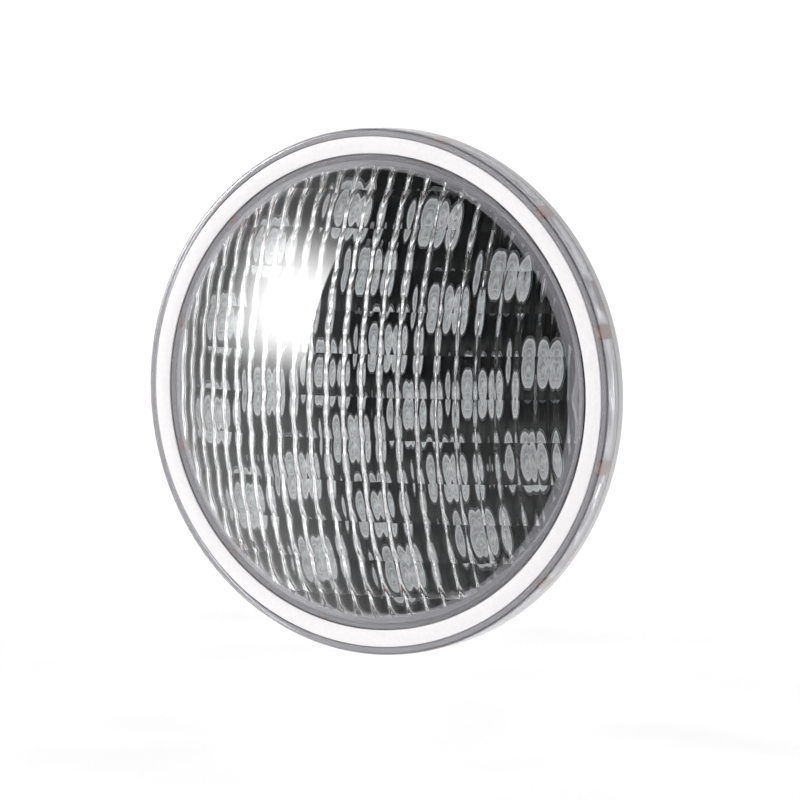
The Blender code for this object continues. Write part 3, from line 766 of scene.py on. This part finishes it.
def studio():
    """The room as a world: a softbox at the left, pale walls left and behind, dark elsewhere."""
    scene = bpy.context.scene
    world = bpy.data.worlds.new("studio")
    scene.world = world
    world.use_nodes = True
    world.cycles.sampling_method = "NONE"     # matt surfaces meet only the even light
    tree = Nodes(world.node_tree)
    background = world.node_tree.nodes["Background"]
    background.inputs["Color"].default_value = (1, 1, 1, 1)
    path = world.node_tree.nodes.new("ShaderNodeLightPath").outputs
    place = world.node_tree.nodes.new("ShaderNodeTexCoord").outputs["Generated"]
    x, y, z = (tree.dot(place, axis) for axis in ((1, 0, 0), (0, 1, 0), (0, 0, 1)))

    # the softbox, seen across (s) and up (t) from the lamp
    middle = Vector(SOFTBOX_WAY).normalized()
    across = Vector((0, 0, 1)).cross(middle).normalized()
    up = middle.cross(across)
    facing = tree.dot(place, middle)
    least = 0.05                              # past this cosine the softbox isn't seen
    depth = tree.math("MAXIMUM", facing, least)
    s = tree.math("DIVIDE", tree.dot(place, across), depth)
    t = tree.math("DIVIDE", tree.dot(place, up), depth)
    glow = tree.choose(path["Is Transmission Ray"], SOFTBOX_GLOW, SOFTBOX_THROUGH)
    edges = [tree.ramp(s, *edge) for edge in SOFTBOX_SIDES]
    edges += [tree.ramp(t, *edge) for edge in SOFTBOX_ENDS]
    softbox = tree.product(*edges, tree.math("GREATER_THAN", facing, least), glow)
    room = tree.total(softbox, ROOM_DARK, tree.ramp(x, *LEFT_WALL), tree.ramp(y, *BACK_WALL),
                      tree.ramp(z, *PALE_GROUND))
    # light on matt surfaces: even all round, with more from the softbox's side
    lit = tree.total(tree.ramp(facing, *SOFTBOX_SPREAD, 0, SOFTBOX_LIT), EVEN_LIT)
    scattered = tree.math("GREATER_THAN", path["Diffuse Depth"], 0.5)
    seen = tree.choose(scattered, room, lit)
    strength = tree.choose(path["Is Camera Ray"], seen, BACKDROP)
    tree.put(strength, background.inputs["Strength"])
    scene.view_settings.view_transform = "Standard"
    scene.cycles.use_denoising = True
    scene.cycles.max_bounces = 24
    scene.cycles.transmission_bounces = 24
    scene.cycles.glossy_bounces = 8
    scene.cycles.caustics_refractive = True
    scene.cycles.caustics_reflective = True


def floor():
    """Pale paper below the lamp, not shown in reflections or through the cover."""
    mesh = bpy.data.meshes.new("floor")
    size = FLOOR_SIZE
    mesh.from_pydata([(-size, -size, FLOOR_Z), (size, -size, FLOOR_Z), (size, size, FLOOR_Z),
                      (-size, size, FLOOR_Z)], [], [(0, 1, 2, 3)])
    look = plain("floor_paper", (0.93, 0.93, 0.93), 0.9, scale=3.0)
    shader = look.node_tree.nodes["Principled BSDF"]
    shader.inputs["Emission Color"].default_value = (1, 1, 1, 1)
    shader.inputs["Emission Strength"].default_value = FLOOR_GLOW
    mesh.materials.append(look)
    paper = link(bpy.data.objects.new("floor", mesh))
    paper.visible_glossy = False
    paper.visible_transmission = False


def camera():
    azimuth, elevation = math.radians(CAMERA_AZIMUTH), math.radians(CAMERA_ELEVATION)
    direction = Vector((math.sin(azimuth) * math.cos(elevation),
                        -math.cos(azimuth) * math.cos(elevation), math.sin(elevation)))
    data = bpy.data.cameras.new("camera")
    data.sensor_width = 36
    data.lens = CAMERA_LENS
    data.shift_x, data.shift_y = CAMERA_SHIFT
    eye = link(bpy.data.objects.new("camera", data))
    aim = Vector((0, -RIM_FRONT, 0))
    eye.location = aim + direction * CAMERA_DISTANCE
    eye.rotation_euler = (-direction).to_track_quat("-Z", "Y").to_euler()
    bpy.context.scene.camera = eye


def carry(prefix, look):
    """Dress the CAD nodes that are shown as they are."""
    for name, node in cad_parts.items():
        if name.startswith(prefix):
            node.data.materials.clear()
            node.data.materials.append(look)


CARRIED = {"cover_gasket": RUBBER, "led_board": BLACK_BOARD, "sink_screw": STEEL,
           "thermal_pad": PAD, "heat_sink": ALUMINIUM, "driver_board": GREEN_BOARD,
           "rf_receiver": GREEN_BOARD, "driver_standoff": NYLON, "supply_lead_a": LEAD_RED,
           "supply_lead_b": LEAD_BLACK, "led_harness": LEAD_BLACK}
for start, look in CARRIED.items():
    carry(start, look)
front_cover()
trim_ring()
rear_housing()
rim_screws()
led_optics()
terminal("a", 1)
terminal("b", -1)
camera()
studio()
floor()
